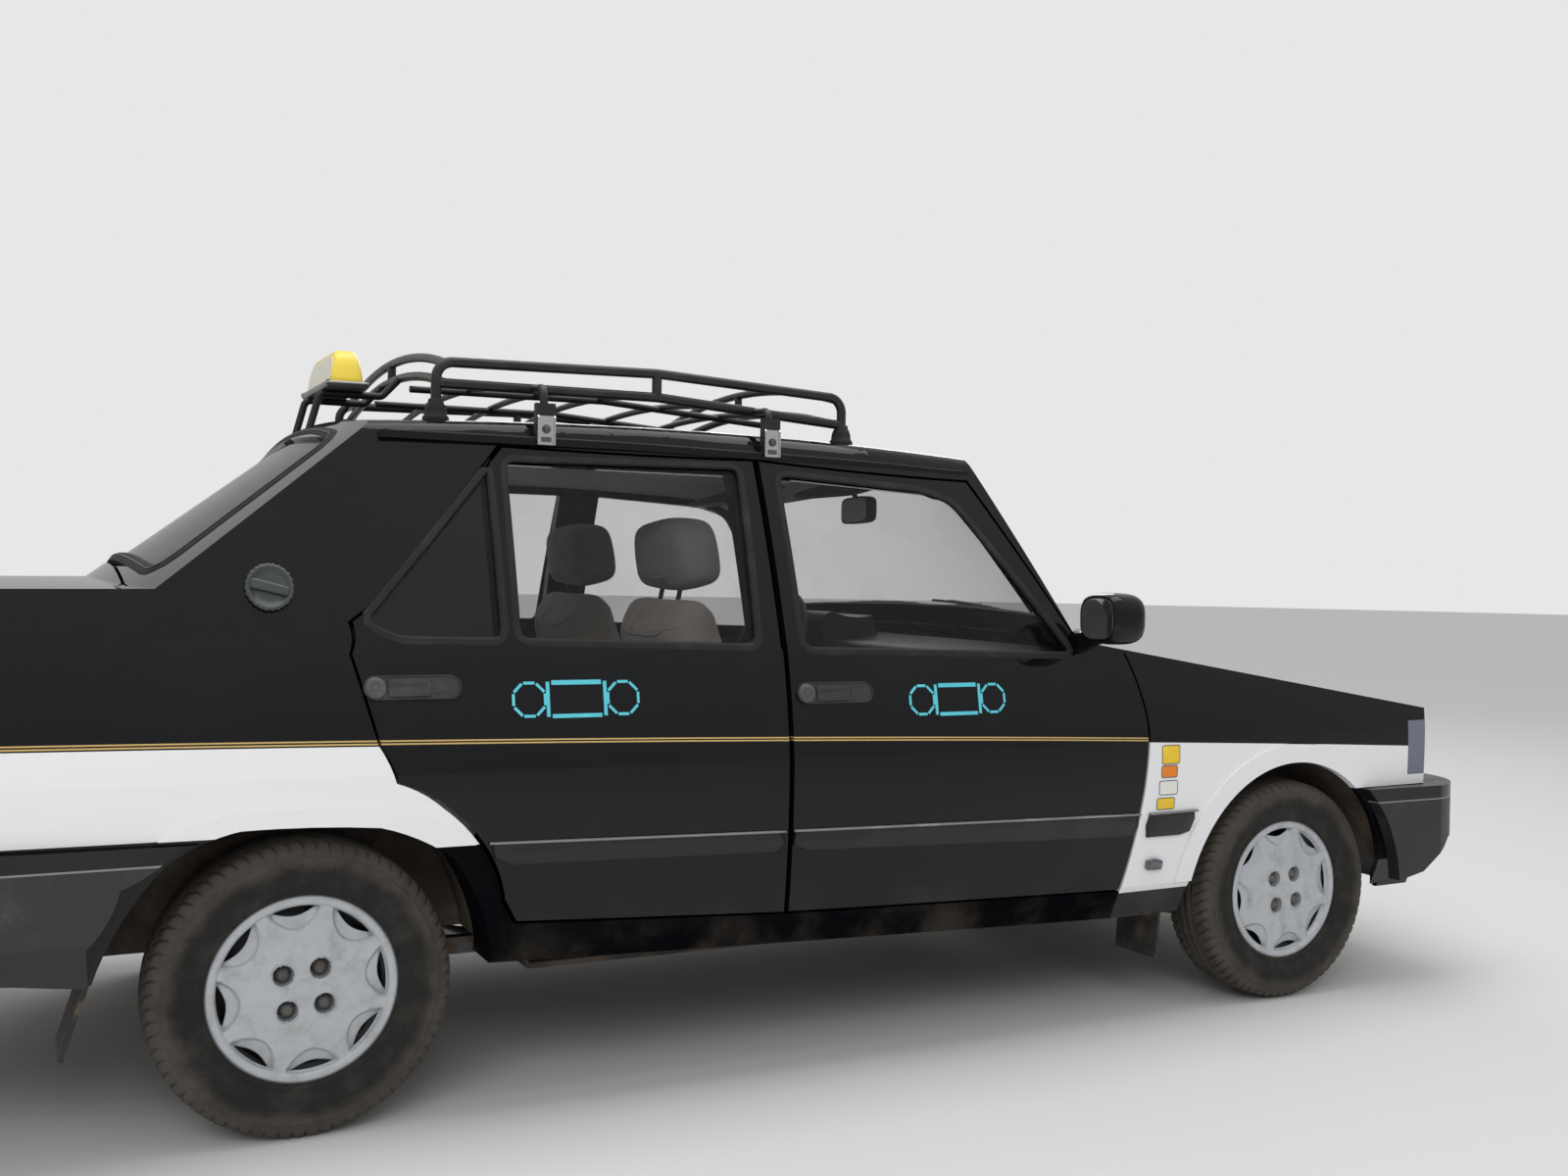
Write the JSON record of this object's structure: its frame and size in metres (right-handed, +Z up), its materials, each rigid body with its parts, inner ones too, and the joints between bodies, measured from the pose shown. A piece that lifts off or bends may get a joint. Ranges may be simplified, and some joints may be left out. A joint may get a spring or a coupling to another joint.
{
  "type": "four-door saloon taxi cab",
  "caption": "Boxy four-door saloon taxi in black and white with a tubular roof rack, a plain roof sign, opening doors and lids, steered front wheels and free-turning wheels.",
  "frame": {"origin": "on the ground, at the middle of the overall length and width", "axes": "+X forward, +Y to the car's left, +Z up"},
  "size_m": [4.2666, 1.9434, 1.5939],
  "materials": {
    "black_paint": "gloss",
    "white_paint": "gloss",
    "black_plastic": "satin",
    "underbody": "matt",
    "glass": "clear",
    "lamp_glass": "fluted",
    "red_lamp": "gloss",
    "cast_metal": "rough",
    "steel": "satin",
    "wheel_silver": "satin",
    "tyre": "matt",
    "cloth": "woven",
    "dash_plastic": "matt",
    "sign_yellow": "gloss",
    "flap_rubber": "matt"
  },
  "bodies": {
    "body": {"floor_pan": "underbody", "wheelhouses": "underbody", "side_frames": "black_paint", "roof_panel": "black_paint", "cowl_panel": "black_paint", "rear_panels": "black_paint", "front_fenders": "white_paint", "nose_panel": "black_paint", "grille": "black_plastic", "headlamps": "lamp_glass", "front_bumper": "black_plastic", "rear_bumper": "black_plastic", "tail_lamps": "red_lamp", "screens": "glass", "engine_block": "cast_metal", "front_seats": "cloth", "rear_seat": "cloth", "dashboard": "dash_plastic", "roof_rack": "black_plastic", "taxi_sign": "sign_yellow", "fuel_cap": "black_plastic", "mud_flaps": "flap_rubber", "exhaust": "steel", "rear_axle": "cast_metal", "front_suspension": "cast_metal"},
    "hood": {"hood": "black_paint"},
    "boot_lid": {"boot_lid": "black_paint"},
    "steering_wheel": {"steering_wheel": "dash_plastic"},
    "knuckle_right": {"knuckle_right": "cast_metal"},
    "wheel_front_right": {"wheel_front_right": "wheel_silver", "tyre_front_right": "tyre"},
    "door_front_right": {"door_front_right": "black_paint", "door_glass_front_right": "glass", "mirror_right": "black_plastic"},
    "wheel_rear_right": {"wheel_rear_right": "wheel_silver", "tyre_rear_right": "tyre"},
    "door_rear_right": {"door_rear_right": "black_paint", "door_glass_rear_right": "glass"},
    "knuckle_left": {"knuckle_left": "cast_metal"},
    "wheel_front_left": {"wheel_front_left": "wheel_silver", "tyre_front_left": "tyre"},
    "door_front_left": {"door_front_left": "black_paint", "door_glass_front_left": "glass", "mirror_left": "black_plastic"},
    "wheel_rear_left": {"wheel_rear_left": "wheel_silver", "tyre_rear_left": "tyre"},
    "door_rear_left": {"door_rear_left": "black_paint", "door_glass_rear_left": "glass"}
  },
  "joints": [
    {"name": "left_steer", "type": "hinge", "parent": "body", "child": "knuckle_left", "pos_m": [1.417, 0.596, 0.287], "axis": [0, 0, 1], "range_deg": [-33, 33]},
    {"name": "front_left_spin", "type": "hinge", "parent": "knuckle_left", "child": "wheel_front_left", "pos_m": [1.417, 0.686, 0.287], "axis": [0, 1, 0], "continuous": true},
    {"name": "rear_left_spin", "type": "hinge", "parent": "body", "child": "wheel_rear_left", "pos_m": [-1.073, 0.661, 0.287], "axis": [0, 1, 0], "continuous": true},
    {"name": "door_front_left_hinge", "type": "hinge", "parent": "body", "child": "door_front_left", "pos_m": [0.9, 0.816, 0.65], "axis": [0, 0, -1], "range_deg": [0, 65]},
    {"name": "door_rear_left_hinge", "type": "hinge", "parent": "body", "child": "door_rear_left", "pos_m": [-0.09, 0.827, 0.65], "axis": [0, 0, -1], "range_deg": [0, 65]},
    {"name": "right_steer", "type": "hinge", "parent": "body", "child": "knuckle_right", "pos_m": [1.417, -0.596, 0.287], "axis": [0, 0, 1], "range_deg": [-33, 33]},
    {"name": "front_right_spin", "type": "hinge", "parent": "knuckle_right", "child": "wheel_front_right", "pos_m": [1.417, -0.686, 0.287], "axis": [0, 1, 0], "continuous": true},
    {"name": "rear_right_spin", "type": "hinge", "parent": "body", "child": "wheel_rear_right", "pos_m": [-1.073, -0.661, 0.287], "axis": [0, 1, 0], "continuous": true},
    {"name": "door_front_right_hinge", "type": "hinge", "parent": "body", "child": "door_front_right", "pos_m": [0.9, -0.816, 0.65], "axis": [0, 0, 1], "range_deg": [0, 65]},
    {"name": "door_rear_right_hinge", "type": "hinge", "parent": "body", "child": "door_rear_right", "pos_m": [-0.09, -0.827, 0.65], "axis": [0, 0, 1], "range_deg": [0, 65]},
    {"name": "steering_turn", "type": "hinge", "parent": "body", "child": "steering_wheel", "pos_m": [0.427, 0.355, 0.855], "axis": [-0.9135, 0, 0.4067], "range_deg": [-530, 530]},
    {"name": "hood_hinge", "type": "hinge", "parent": "body", "child": "hood", "pos_m": [1.919, 0, 0.777], "axis": [0, 1, 0], "range_deg": [0, 70]},
    {"name": "boot_hinge", "type": "hinge", "parent": "body", "child": "boot_lid", "pos_m": [-1.389, 0, 1.1], "axis": [0, 1, 0], "range_deg": [0, 70]}
  ],
  "couplings": [
    {"joint": "right_steer", "follows": "left_steer", "ratio": 1},
    {"joint": "steering_turn", "follows": "left_steer", "ratio": 16}
  ]
}
